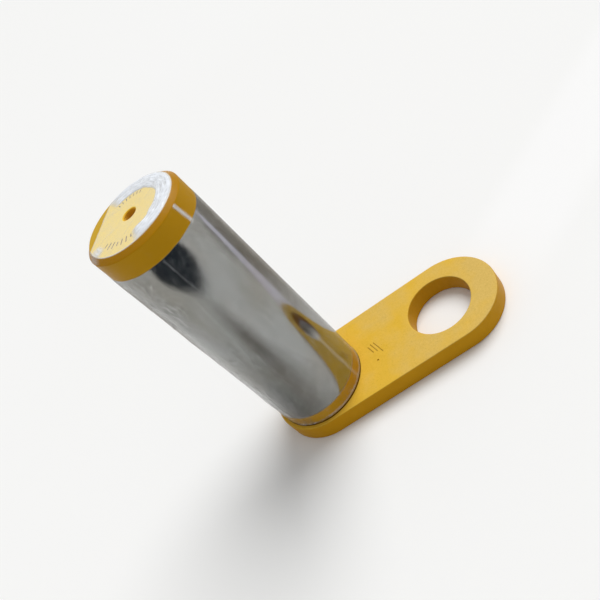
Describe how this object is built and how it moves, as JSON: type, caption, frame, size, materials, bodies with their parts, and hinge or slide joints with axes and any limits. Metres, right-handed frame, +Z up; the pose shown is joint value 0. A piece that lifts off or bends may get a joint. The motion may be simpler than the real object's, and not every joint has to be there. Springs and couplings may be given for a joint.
{
  "type": "excavator bucket pin with flag plate",
  "caption": "Ground steel pivot pin standing on a welded, round-ended flag plate with a keeper hole, with yellow ends, a clear film wrap and a recessed grease nipple.",
  "frame": {"origin": "middle of the flag plate's outer face, half way between the centres of its two round ends", "axes": "+Z up along the pin towards its free tip, +X from the pin towards the keeper hole, +Y across the flag plate, on the grease outlets' side"},
  "size_m": [0.1854, 0.076, 0.2122],
  "materials": {
    "ground_steel": "ground and polished, with yellow paint over both ends",
    "yellow_paint": "semi-gloss sprayed enamel",
    "clear_film": "clear stretch film, wrinkled",
    "zinc_steel": "bright zinc plating",
    "spring_steel": "drawn and polished"
  },
  "bodies": {
    "pin": {"pin_shaft": "ground_steel", "flag_plate": "yellow_paint", "flag_weld": "yellow_paint", "film_sleeve": "clear_film", "film_tip_cover": "clear_film", "grease_nipple_body": "zinc_steel", "nipple_spring": "spring_steel"},
    "check_ball": {"nipple_check_ball": "spring_steel"}
  },
  "joints": [
    {"name": "check_ball_lift", "type": "slide", "parent": "pin", "child": "check_ball", "axis": [0, 0, 1], "range_m": [0, 0.001], "stiffness_N_per_m": 400, "springref_m": -0.002, "deforming": ["nipple_spring"]}
  ]
}
